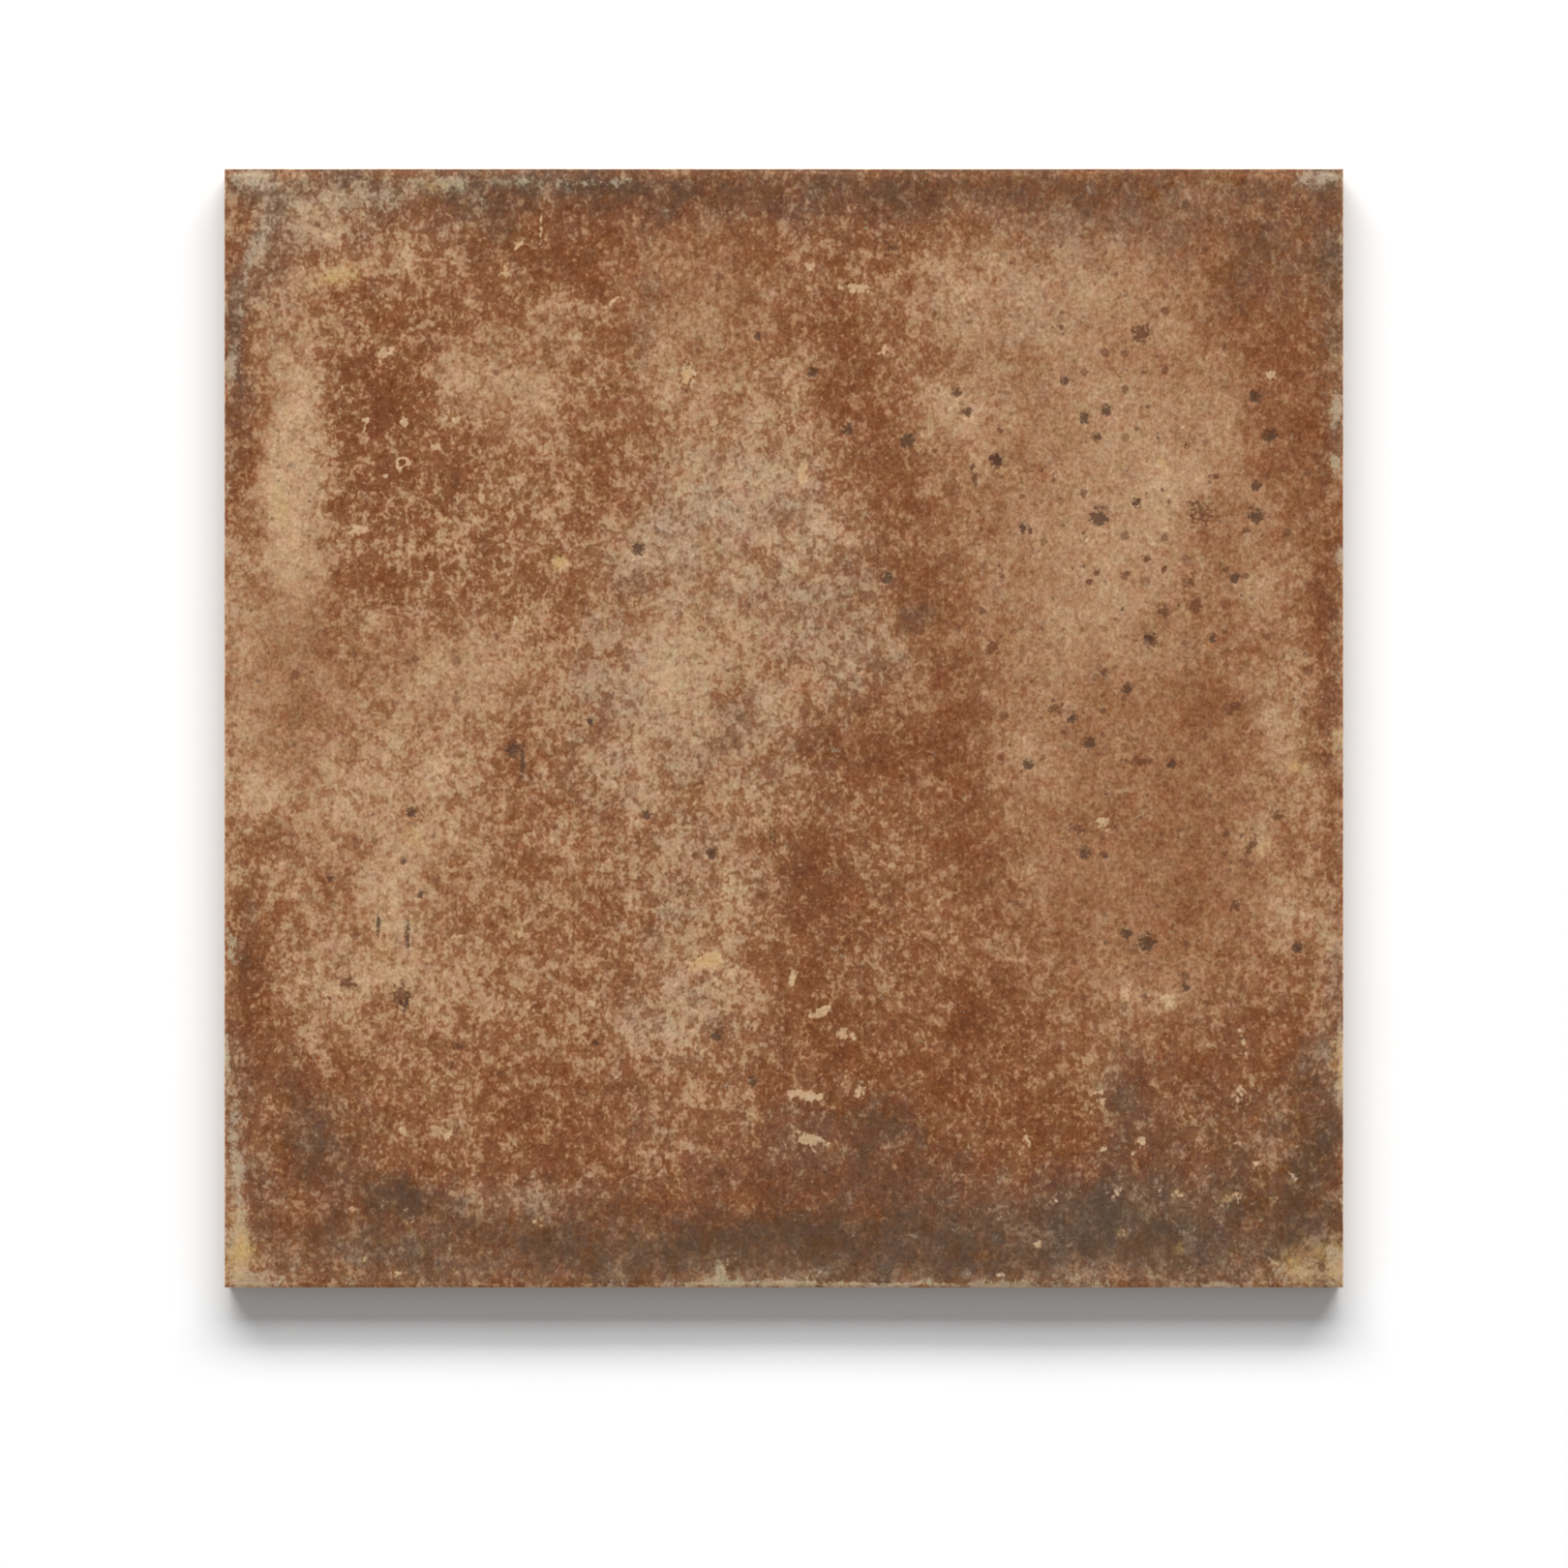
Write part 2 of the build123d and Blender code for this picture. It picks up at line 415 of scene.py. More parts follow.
ashPatches = {
    "cornerAsh": (265, 190, 34, 16, 0, 0.7),
    "cornerAshDown": (266, 250, 12, 50, 16, 0.6),
    "westEdgeAsh": (242, 330, 9, 60, 0, 0.7),
    "northEdgeAsh": (580, 190, 110, 12, 0, 0.6),
    "driftAsh": (690, 560, 70, 70, 0, 0.50),
    "driftAshNorth": (790, 500, 80, 60, 0, 0.45),
    "driftAshLow": (640, 700, 60, 80, 0, 0.40),
    "shelfAsh": (850, 610, 80, 70, 0, 0.50),
    "shelfAshEast": (905, 690, 44, 36, 0, 0.50),
    "valleyAsh": (850, 900, 80, 130, 0, 0.20),
    "poolAsh": (826, 1168, 66, 36, 0, 0.45),
    "eastEdgeAsh": (1374, 1010, 20, 50, 0, 0.30),
    "southEastAshHigh": (1276, 1090, 40, 40, 0, 0.35),
    "southEastAshLow": (1100, 1272, 60, 28, 0, 0.35),
    "southEastAshEast": (1246, 1280, 40, 36, 0, 0.35),
    "driftAshEast": (770, 750, 70, 70, 0, 0.40),
    "driftAshFoot": (620, 790, 60, 60, 0, 0.28),
    "lowAsh": (700, 900, 70, 110, 0, 0.32),
    "lowAshFoot": (700, 1060, 70, 60, 0, 0.40),
    "fieldAsh": (1060, 330, 60, 60, 0, 0.35),
    "fieldAshEast": (1190, 240, 90, 40, 0, 0.35),
    "southAsh": (980, 1314, 480, 26, 0, 0.50),
    "southAshEast": (1030, 1240, 130, 40, 0, 0.50),
    "southEastAsh": (1180, 1240, 90, 44, 0, 0.60),
    "southWestAsh": (545, 1240, 110, 30, 0, 0.60),
    "southWestAshLow": (400, 1302, 90, 26, 0, 0.50),
    "westAsh": (246, 1100, 22, 100, 0, 0.50),
    "westAshHigh": (248, 420, 20, 80, 0, 0.35),
    "southWestSmokeAsh": (334, 1190, 34, 40, -24, 0.15),
    "westFootAsh": (262, 1227, 40, 30, 0, 0.60),
    "cornerAshEast": (328, 244, 34, 26, 0, 0.35),
    "southMiddleAsh": (680, 1170, 40, 36, 0, 0.30),
    "southBandAsh": (1000, 1262, 40, 22, 0, 0.30),
    "eastRimAshHigh": (1374, 400, 16, 80, 0, 0.20),
    "northEastAsh": (1362, 184, 34, 16, 0, 0.40),
    "veilAsh": (668, 320, 14, 50, 0, 0.50),
    "southTerraceAsh": (840, 1215, 150, 30, 0, 0.35),
    "pierAsh": (1165, 1140, 34, 60, 0, 0.55),
    "eastAsh": (1376, 1130, 20, 160, 0, 0.40),
    "eastRimAsh": (1382, 640, 12, 500, 0, 0.30),
    "northAsh": (760, 214, 520, 34, 0, 0.45),
    "northAshEast": (1120, 236, 90, 24, 0, 0.15),
    "northAshWest": (360, 196, 90, 26, 0, 0.60),
    "northWestAsh": (280, 280, 30, 70, 0, 0.45),
}

ochrePatches = {
    "leftDriftOchre": (296, 540, 26, 80, 0, 0.36),
    "arcOchre": (350, 284, 32, 14, -15, 0.90),
    "cornerOchre": (325, 226, 34, 22, 0, 0.40),
    "driftOchre": (690, 700, 40, 60, 0, 0.25),
    "driftOchreLow": (665, 790, 30, 34, 0, 0.30),
    "lowOchre": (722, 970, 40, 50, 0, 0.30),
    "lowLeftOchre": (438, 862, 34, 26, 0, 0.45),
    "lowLeftOchreFoot": (396, 980, 30, 60, 0, 0.35),
    "northWestOchre": (455, 191, 24, 9, 0, 0.90),
    "southWestOchre": (246, 1290, 22, 36, 0, 0.95),
    "southEastOchre": (1352, 1304, 42, 26, 0, 0.80),
    "eastOchre": (1384, 1100, 7, 50, 0, 0.9),
    "eastChipOchre": (1384, 764, 6, 18, 0, 0.9),
}

# How soft the film lies: 0 is crisp flecks on bare ground, 1 an even veil
softPatches = {
    "eastField": (1165, 520, 190, 360, 0, 0.95),
    "eastLow": (1200, 900, 130, 130, 0, 0.70),
    "westTan": (292, 700, 60, 120, 0, 0.70),
    "flagstoneSoft": (450, 690, 90, 60, 0, 0.50),
    "leftDriftSoft": (298, 470, 36, 150, 0, 0.50),
    "leftDriftLowSoft": (298, 545, 26, 70, 0, 0.35),
    "lowLeftSoft": (400, 880, 110, 150, 0, 0.25),
    "driftSoft": (720, 640, 110, 200, 0, 0.25),
    "saltedSoft": (515, 395, 70, 70, 0, 0.50),
    "northVeilSoft": (720, 310, 80, 90, 0, 0.50),
    "southSoft": (850, 1295, 560, 50, 0, 0.40),
    "emberCrisp": (430, 480, 130, 170, 0, -0.25),
}

# Where the clay's edge is rubbed pale
chalkPatches = {
    "northWestGrey": (262, 185, 24, 9, 0, 0.6),
    "northWestGreyEast": (315, 186, 30, 6, 0, 0.3),
    "arcFoot": (247, 334, 4, 30, 6, 0.45),
    "arcMiddle": (255, 290, 4, 28, 12, 0.5),
    "arcTop": (268, 244, 6, 26, 22, 0.4),
    "arcShoulder": (304, 212, 8, 30, 62, 0.35),
    "northWestStreak": (395, 200, 26, 5, -14, 0.5),
    "northWestCream": (455, 190, 26, 9, 0, 0.8),
    "northGrey": (553, 189, 60, 6, 0, 0.45),
    "northGreyEast": (640, 184, 34, 8, 0, 0.4),
    "northEastCorner": (1366, 183, 26, 8, 0, 0.85),
    "eastRimMiddle": (1380, 460, 6, 80, 0, 0.25),
    # along the whole south edge: pale worn clay, and also painted light against the shade on the
    # south shoulder
    "southEdge": (810, 1329, 640, 4, 0, 0.35),
    "southLine": (752, 1325, 66, 4, 0, 0.7),
    "southPeak": (745, 1316, 10, 12, 0, 0.6),
    "southLineMiddle": (905, 1327, 110, 3, 0, 0.6),
    "southLineEast": (1040, 1325, 32, 5, 0, 0.7),
    "southBuff": (1132, 1320, 36, 10, 0, 0.6),
    "southWhite": (1260, 1327, 20, 3, 0, 0.9),
    "southFleck": (850, 1314, 11, 6, 0, 0.8),
    "southEastCream": (1334, 1316, 50, 11, 0, 0.65),
    "southEastCorner": (1380, 1308, 8, 26, 0, 0.9),
    "southWestCorner": (246, 1294, 17, 32, 0, 0.85),
    "southWestFoot": (268, 1320, 30, 8, 0, 0.7),
    "westRag": (244, 1205, 8, 80, -2, 0.8),
    "westRagTop": (236, 1085, 3, 26, 0, 0.8),
    "westChip": (238, 976, 4, 20, 0, 0.9),
    "westChipHigh": (235, 504, 3, 14, 0, 1.0),
    "westChipTop": (235, 372, 3, 22, 0, 0.9),
    "westChipMiddle": (236, 572, 3, 9, 0, 0.8),
    "westGrey": (240, 382, 4, 30, 5, 0.4),
    "eastChipTop": (1384, 245, 4, 15, 0, 0.7),
    "eastChipHigh": (1382, 424, 4, 18, 0, 0.8),
    "eastChipHighFoot": (1382, 480, 4, 7, 0, 0.9),
    "eastChipMiddle": (1385, 574, 4, 10, 0, 1.0),
    "eastChip": (1385, 766, 4, 14, 0, 0.9),
    "eastChipLow": (1385, 1080, 4, 34, 0, 0.8),
    "eastChipLowFoot": (1382, 1130, 5, 18, 0, 0.7),
    "eastChipFoot": (1385, 1236, 4, 15, 0, 0.6),
}

# Single pale flecks: across, down, half width, half height, turn, paleness, yellowness
fleckSpots = {
    "pebble": (396, 366, 12, 6, -40, 0.85, 0.4),
    "eyeFleck": (580, 583, 12, 6, 20, 1.0, 0.9),
    "ochreLeaf": (710, 386, 7, 13, 0, 0.9, 1.0),
    "ochreBlade": (830, 488, 5, 14, 5, 0.9, 1.0),
    "ochrePetal": (729, 992, 17, 7, -12, 1.0, 1.0),
    "petalShadow": (752, 1008, 13, 6, -25, 0.8, 0.5),
    "hornFleck": (818, 1012, 3, 10, 15, 0.9, 0.3),
    "dashFleck": (848, 1045, 10, 5, -25, 0.9, 0.5),
    "coinFleck": (873, 1068, 9, 7, 0, 0.9, 0.6),
    "barFleck": (832, 1131, 18, 4, 8, 1.0, 0.7),
    "cornerFleck": (888, 1127, 6, 9, 10, 0.9, 0.3),
    "ochreKnot": (838, 1178, 15, 9, 20, 0.8, 0.9),
    "shellFleckWest": (1166, 1024, 11, 13, 0, 0.5, 0.2),
    "shellFleckEast": (1205, 1033, 8, 12, -20, 0.6, 0.4),
    "wingFleck": (1283, 1075, 4, 12, -8, 0.6, 0.5),
    "ochreEast": (1268, 1238, 13, 7, -15, 0.7, 1.0),
    "ochreEastTop": (1335, 1218, 10, 6, 20, 0.6, 1.0),
    "ochreSouth": (1160, 1272, 8, 8, 0, 0.5, 1.0),
    "whiteGrain": (1139, 849, 8, 8, 0, 0.85, 0.0),
    "ochreVeil": (1308, 874, 12, 12, 0, 0.35, 0.7),
    "ochreVeilHigh": (1340, 793, 9, 7, 0, 0.45, 1.0),
    "northGrain": (835, 275, 7, 4, 0, 0.7, 0.3),
    "northDash": (884, 299, 18, 5, 5, 0.85, 0.4),
    "northEastGrain": (912, 363, 6, 7, 0, 0.65, 0.2),
    "saltFleck": (520, 278, 7, 11, 0, 0.6, 0.7),
    "eastGrain": (1313, 388, 5, 4, 0, 0.9, 0.1),
    "emberGrain": (419, 437, 4, 5, 0, 1.0, 0.3),
    "emberGrainWest": (399, 492, 3, 3, 0, 1.0, 0.3),
    "emberArrow": (450, 462, 6, 3, 20, 1.0, 0.3),
    "topScratch": (559, 236, 2, 19, 4, 0.75, 0.3),
    "topScratchTail": (536, 254, 2, 9, 45, 0.8, 0.3),
    "drag": (634, 311, 2, 13, 52, 0.65, 0.3),
    "whitePea": (1180, 1178, 4, 4, 0, 1.0, 0.1),
    "whitePeaLow": (1171, 1191, 4, 3, 0, 0.8, 0.2),
    "whitePeaWest": (1140, 1187, 5, 3, 0, 0.8, 0.2),
    "nail": (1060, 1174, 4, 12, -22, 0.6, 0.2),
    "nailHead": (1040, 1195, 7, 5, 15, 0.55, 0.4),
    "ashFleck": (1152, 1233, 9, 7, 0, 0.5, 0.0),
    "ochreCrumb": (1209, 1233, 12, 6, 10, 0.6, 1.0),
    "ochreDash": (1318, 1242, 3, 10, 0, 0.6, 1.0),
    "ochreSouthEast": (1072, 1285, 4, 3, 0, 0.6, 0.9),
    "ochreSouthRow": (1215, 1288, 5, 4, 0, 0.5, 1.0),
    "ochreSouthHigh": (1256, 1258, 6, 5, 20, 0.5, 1.0),
    "ochreCorner": (1352, 1252, 4, 6, 0, 0.5, 1.0),
    "paleSouth": (1090, 1240, 8, 5, 0, 0.45, 0.2),
    "paleSouthEast": (1278, 1180, 6, 5, 0, 0.5, 0.2),
    "paleEast": (1296, 1205, 4, 9, 20, 0.5, 0.3),
    "paleClot": (1135, 1134, 10, 7, 30, 0.6, 0.3),
    "paleClotEast": (1282, 1132, 9, 10, 0, 0.6, 0.3),
    "ochreBud": (1240, 1065, 7, 7, 0, 0.5, 0.8),
    "southCrumb": (1032, 1315, 5, 3, 0, 0.9, 0.3),
    "yellowGrain": (1198, 480, 4, 4, 0, 0.7, 1.0),
    "pinkGrain": (1203, 547, 4, 3, 0, 0.9, 0.0),
    "fieldGrain": (1123, 558, 3, 3, 0, 0.8, 0.0),
    "westClot": (418, 1166, 10, 6, -40, 0.55, 0.4),
    "westClotEast": (462, 1174, 8, 8, 0, 0.55, 0.6),
    "lowGrain": (551, 1046, 6, 6, 0, 0.7, 0.4),
    "lowGrainEast": (611, 1034, 8, 6, 0, 0.6, 0.7),
    "lowGrainWest": (474, 966, 5, 5, 0, 0.6, 0.9),
    "lowGrainTop": (536, 963, 6, 5, 0, 0.6, 0.7),
    "southWestGrain": (364, 1247, 6, 5, -20, 0.5, 0.8),
    "southWestGrainLow": (426, 1262, 4, 4, 0, 0.5, 0.9),
    "southWestOrange": (376, 1302, 4, 6, 0, 0.6, 1.0),
    "southWestTip": (474, 1312, 5, 4, 0, 0.5, 0.9),
    "southWestPale": (554, 1260, 9, 5, 20, 0.55, 0.6),
    "southWestStrip": (408, 1315, 13, 4, 0, 0.5, 0.4),
    "ochreStep": (575, 585, 7, 5, 0, 0.7, 0.9),
    "flagOchre": (533, 640, 5, 9, 0, 0.6, 0.8),
    "emberRound": (369, 548, 9, 7, 0, 0.9, 0.4),
    "emberLip": (378, 435, 3, 9, 10, 0.7, 0.2),
    "emberTip": (355, 400, 6, 5, 0, 0.6, 0.3),
    "emberEast": (465, 430, 12, 5, 25, 0.6, 0.4),
    "northWhite": (995, 230, 7, 6, 0, 0.4, 0.0),
}

# Small rings: across, down, radius, breadth, 1 for a pale one and -1 for a dark one
rings = {
    "emberRing": (415, 478, 5, 3.5, 0.8),
    "fieldRing": (1071, 564, 6, 3, -0.6),
    "fieldRingWest": (1024, 567, 5, 2.5, -0.45),
    "fieldRingLow": (1031, 591, 4, 2.5, -0.65),
    "fieldRingEast": (1175, 522, 4, 2.5, -0.7),
    "fieldRingPale": (1091, 492, 6, 2.5, 0.6),
    "fieldRingSouth": (1050, 658, 7, 3, -0.5),
    "fieldRingSouthTop": (1049, 635, 5, 2.5, -0.45),
    "fieldRingTop": (1222, 444, 5, 2.5, 0.5),
    "lowRing": (416, 1029, 9, 4, -0.6),
}

# Red-brown stains in the pale film: across, down, half width, half height, turn, strength
stains = {
    "fieldWedge": (1029, 477, 6, 7, -20, 1.0),
    "fieldCurve": (1006, 492, 3, 16, -12, 0.8),
    "fieldCloud": (1241, 531, 16, 14, 0, 0.7),
    "fieldKnot": (1202, 631, 7, 7, 0, 0.9),
    "fieldKnotEast": (1235, 625, 6, 8, 15, 1.0),
    "fieldKnotLow": (1189, 662, 6, 8, 0, 0.9),
    "fieldBead": (1230, 601, 5, 6, 0, 0.9),
    "fieldBeadWest": (1184, 578, 5, 4, 30, 0.8),
    "fieldCorner": (1024, 670, 8, 7, 0, 0.8),
    "fieldTop": (1178, 345, 10, 9, 0, 0.9),
    "fieldTopEast": (1226, 459, 5, 6, 0, 0.7),
    "fieldDot": (1202, 588, 3, 4, 0, 1.0),
    "fieldDotWest": (1133, 592, 4, 3, 0, 0.9),
    "fieldDotLow": (1125, 601, 3, 3, 0, 1.0),
    "fieldDash": (1164, 593, 6, 3, 0, 0.8),
    "fieldCrumb": (1057, 550, 3, 3, 0, 0.9),
    "fieldCrumbEast": (1064, 548, 3, 3, 0, 0.9),
    "fieldCrumbTop": (1033, 445, 4, 3, 20, 0.8),
    "fieldSmear": (1234, 520, 8, 3, 0, 0.8),
    "fieldDotEast": (1256, 493, 4, 3, 0, 0.9),
    "lowDrop": (415, 1029, 9, 13, 0, 0.85),
    "lowBead": (473, 1081, 5, 4, 0, 1.0),
    "lowBeadEast": (517, 1110, 6, 6, 0, 0.8),
    "lowStroke": (468, 1098, 3, 8, 20, 0.7),
    "eastKnot": (1274, 731, 12, 7, -20, 0.8),
    "eastDash": (1178, 787, 16, 5, 0, 0.8),
    "eastStroke": (1292, 874, 5, 14, 30, 0.8),
    "eastBead": (1276, 936, 6, 6, 0, 0.9),
    "eastDot": (1320, 842, 6, 5, 0, 0.9),
    "eastClot": (1114, 856, 11, 6, 20, 0.8),
    "eastSmear": (1090, 732, 13, 7, 0, 0.7),
    "eastRimStain": (1376, 636, 5, 8, 0, 0.8),
    "northStain": (920, 258, 10, 8, 0, 0.7),
    "lowClot": (359, 1014, 10, 5, 20, 0.9),
    "lowWest": (340, 1034, 8, 12, 0, 0.5),
}

# Dark pits in the face: across, down, radius, depth in millimetres
pits = {
    "pit01": (659, 567, 8, 0.5), "pit02": (988, 406, 6, 0.5), "pit03": (1000, 427, 5, 0.5),
    "pit04": (1120, 433, 6, 0.5), "pit05": (1142, 425, 7, 0.5), "pit06": (1132, 452, 5, 0.4),
    "pit07": (937, 456, 9, 0.4), "pit08": (1030, 476, 7, 0.4), "pit09": (1296, 410, 7, 0.5),
    "pit10": (1135, 535, 11, 0.5), "pit11": (1173, 520, 5, 0.4), "pit12": (1297, 533, 9, 0.5),
    "pit13": (1297, 503, 6, 0.4), "pit14": (1187, 660, 6, 0.4), "pit15": (1165, 712, 6, 0.5),
    "pit16": (876, 444, 6, 0.3), "pit17": (1107, 742, 6, 0.4), "pit18": (1125, 768, 7, 0.4),
    "pit19": (1120, 882, 7, 0.5), "pit20": (1062, 790, 6, 0.4), "pit21": (1275, 598, 6, 0.4),
    "pit22": (1100, 395, 5, 0.4), "pit23": (1312, 452, 8, 0.4), "pit24": (1252, 660, 5, 0.4),
    "pit25": (1185, 975, 10, 0.5), "pit26": (1163, 965, 6, 0.4), "pit27": (1340, 980, 6, 0.4),
    "pit28": (425, 840, 6, 0.4), "pit29": (417, 890, 4, 0.4), "pit30": (435, 925, 4, 0.4),
    "pit31": (342, 907, 5, 0.4), "pit32": (415, 1036, 3, 0.4), "pit33": (530, 775, 9, 0.4),
    "pit34": (735, 882, 6, 0.4), "pit35": (778, 1118, 6, 0.5), "pit36": (617, 1078, 4, 0.5),
    "pit37": (783, 348, 5, 0.4), "pit38": (840, 385, 6, 0.4), "pit39": (668, 842, 5, 0.4),
    "pit40": (740, 1070, 6, 0.4), "pit41": (1210, 790, 6, 0.4), "pit42": (1057, 545, 5, 0.3),
    "pit43": (1225, 1020, 5, 0.4), "pit44": (917, 598, 7, 0.3), "pit45": (610, 745, 5, 0.3),
}

# Fine dark cracks: across, down, half width, half length, turn
cracks = {
    "crackLow": (421, 966, 3, 28, 0),
    "crackLowWest": (391, 954, 3, 16, 0),
    "crackMiddle": (798, 865, 3, 15, -4),
    "crackWest": (540, 790, 3, 26, 4),
    "crackSouth": (420, 1036, 3, 12, 10),
}


# The finer net of faces under small marks, so that they come out at their own size
fineNet = {
    "reach": 1.2,  # how far it goes beside the mark's own size
    "margin": 0.7 * mm,
    "cuts": 2,
    "smallMark": 5,  # it lies under flecks and stains of less than this half width
}


def smallMarks():
    # across, down and greatest half width of each mark over the finer net
    marks = [mark[:3] for mark in (*pits.values(), *rings.values())]
    for across, down, wide, high, *_ in (*fleckSpots.values(), *stains.values()):
        if min(wide, high) < fineNet["smallMark"]:
            marks.append((across, down, max(wide, high)))
    return marks


def refineFace(bm, marks):
    faces = [f for f in bm.faces
             if f.normal.z > lyingFlat and f.calc_center_median().z > faceLevel - hair]
    middles = np.array([f.calc_center_median()[:2] for f in faces])
    edges = set()
    for across, down, radius in marks:
        spot = metresPerPixel * np.array((across - photoMiddle[0], photoMiddle[1] - down))
        reach = fineNet["reach"] * radius * metresPerPixel + fineNet["margin"]
        for index in np.flatnonzero(((middles - spot) ** 2).sum(1) < reach * reach):
            edges.update(faces[index].edges)
    edges = sorted(edges, key=lambda e: e.index)
    bmesh.ops.subdivide_edges(bm, edges=edges, cuts=fineNet["cuts"], use_grid_fill=True)


bm = bmesh.new()
footLoop = makeBack(bm)
faceLoop = makeFace(bm)
makeBand(bm, footLoop, faceLoop)
bmesh.ops.remove_doubles(bm, verts=bm.verts, dist=hair)
bmesh.ops.recalc_face_normals(bm, faces=bm.faces)
bm.edges.index_update()
refineFace(bm, smallMarks())
print("open edges", sum(e.is_boundary for e in bm.edges), "faces", len(bm.faces),
      "triangles", sum(len(f.verts) - 2 for f in bm.faces))


def patchRadius(across, down, wide, high, turn, x, y):
    # distance from a patch's middle, 1 on its edge
    c, s = math.cos(math.radians(turn)), math.sin(math.radians(turn))
    u = ((x - across) * c + (y - down) * s) / wide
    v = ((y - down) * c - (x - across) * s) / high
    return np.sqrt(u * u + v * v)


def patchSum(patches, x, y):
    total = np.zeros_like(x)
    for across, down, wide, high, turn, amount in patches.values():
        total += amount * np.exp(-patchRadius(across, down, wide, high, turn, x, y) ** 2)
    return total


def coneMax(spots, x, y):
    # 1 in the middle of a spot, 0.5 on its edge, 0 at twice its size
    most = np.zeros_like(x)
    for across, down, wide, high, turn, amount in spots:
        near = np.clip(1 - patchRadius(across, down, wide, high, turn, x, y) / 2, 0, 1)
        most = np.maximum(most, amount * near)
    return most


def ringMax(x, y, tone):
    # the same for the rings of one tone
    most = np.zeros_like(x)
    for across, down, radius, breadth, strength in rings.values():
        off = np.abs(patchRadius(across, down, 1, 1, 0, x, y) - radius) / breadth
        most = np.maximum(most, tone * strength * np.clip(1 - off, 0, 1))
    return most


def noiseAt(points, size, octaves, seed):
    # soft noise about zero for each point, whose widest wave is size; each seed reads it elsewhere
    shift = Vector((seed * 7.31, seed * 3.17, seed * 1.71))
    values = [noise.fractal(Vector(p) / size + shift, 0.7, 2.0, octaves) for p in points]
    return np.array(values)


def vectorsOf(items, name):
    flat = np.zeros(len(items) * 3)
    items.foreach_get(name, flat)
    return flat.reshape(-1, 3)


def keepOnPoints(mesh, name, values):
    # one value on every point, which the material reads by its name
    layer = mesh.attributes.new(name, "FLOAT", "POINT")
    layer.data.foreach_set("value", values.astype(np.float32))


paint = {
    "filmBase": 0.43,
    "filmLow": 0.03,
    "filmSpan": 1.02,
    "filmMiddle": 0.5,
    "filmSlope": 5,  # how fast bare clay turns into full film
    "filmLoss": 0.16,  # taken off thin film, so that its flecks are set on bare ground
    "lossReach": 0.12,
    "softBase": 0.2,
    "plateEdge": 14,
    "warpWide": 8,  # how far the patches' edges wander, in the photograph's pixels
    "warpFine": 6,
    "tornShare": 0.5,  # how far the edges of chalk and rings wander beside the fine warp
    "wideWave": (20 * mm, 2),  # widest wave, octaves
    "fineWave": (6 * mm, 3),
}


def paintFace(mesh):
    # the strength of each part of the finish
    points = vectorsOf(mesh.vertices, "co")
    straightX = photoMiddle[0] + points[:, 0] / metresPerPixel
    straightY = photoMiddle[1] - points[:, 1] / metresPerPixel
    fineX = paint["warpFine"] * noiseAt(points, *paint["fineWave"], 3)
    fineY = paint["warpFine"] * noiseAt(points, *paint["fineWave"], 4)
    tornX = straightX + paint["tornShare"] * fineX
    tornY = straightY + paint["tornShare"] * fineY
    x = straightX + fineX + paint["warpWide"] * noiseAt(points, *paint["wideWave"], 1)
    y = straightY + fineY + paint["warpWide"] * noiseAt(points, *paint["wideWave"], 2)
    film = paint["filmBase"] + patchSum(filmPatches, x, y)
    for across, down, wide, high, turn, amount in filmPlates.values():
        inside = 1 - patchRadius(across, down, wide, high, turn, x, y)
        film += amount / (1 + np.exp(-paint["plateEdge"] * inside))
    rise = 1 / (1 + np.exp(-paint["filmSlope"] * (film - paint["filmMiddle"])))
    film = paint["filmLow"] + paint["filmSpan"] * rise
    film -= paint["filmLoss"] * np.exp(-film / paint["lossReach"])
    fields = {
        "film": film,
        "soft": np.clip(paint["softBase"] + patchSum(softPatches, x, y), 0, 1),
        "burn": patchSum(burnPatches, x, y),
        "ash": patchSum(ashPatches, x, y),
        "ochre": patchSum(ochrePatches, x, y),
        "chalk": patchSum(chalkPatches, tornX, tornY),
        "spot": np.maximum(
            coneMax([spot[:6] for spot in fleckSpots.values()], straightX, straightY),
            ringMax(tornX, tornY, 1)),
        "stain": np.maximum(
            coneMax(stains.values(), straightX, straightY), ringMax(tornX, tornY, -1)),
        "pit": np.maximum(
            coneMax([(*pit[:3], pit[2], 0, 1) for pit in pits.values()], straightX, straightY),
            coneMax([(*crack, 1) for crack in cracks.values()], straightX, straightY)),
    }
    for across, down, wide, high, turn, pale, yellow in fleckSpots.values():
        fields["ochre"] += yellow * np.exp(-patchRadius(across, down, wide, high, turn, x, y) ** 2)
    for name, values in fields.items():
        keepOnPoints(mesh, name, values)
    print("face painted, film from", round(film.min(), 2), "to", round(film.max(), 2))


studio = {
    "floorSize": 12.0,
    "floorGrey": (200, 200, 200),  # what lights the tile from below
    "floorWhite": (255, 255, 255),  # what the camera sees
    "worldLevel": 0.29,
    "keyLevel": 0.955,
    "keyAway": 30.0,
    "keyWide": 42.0,
    "lens": 300,
    "sensor": 36,
}

# The two lamps on the north side that share the key level: degrees above the floor, height, share.
# Together they make the even penumbra below the tile.
northLamps = {
    "upperLamp": (30.5, 11.8, 0.5),
    "lowerLamp": (22, 5.6, 0.5),
}

relief = {
    "rough": 0.022 * mm,
    "roughWave": (4 * mm, 4),  # widest wave, octaves
    "swell": 0.10 * mm,
    "swellWave": (70 * mm, 2),
    "sideDent": 0.05 * mm,
    "sideWave": (6 * mm, 3),
    "pitRound": 1.2,  # a pit's mouth beside its dark middle
    "pitBowl": 1.5,
    # painted light and shade on the worn shoulder: where it starts and is full below the face, its
    # least and greatest factor
    "paintedLightFrom": 0.1 * mm,  # the painted light and shade on the shoulder starts this far below the face
    "paintedLightFull": 0.4 * mm,
    "paintedLightLow": 0.55,
    "paintedLightHigh": 2.4,
}


def dentsAt(points, wave, seed):
    # noise that only goes inwards
    return noiseAt(points, *wave, seed) - 1


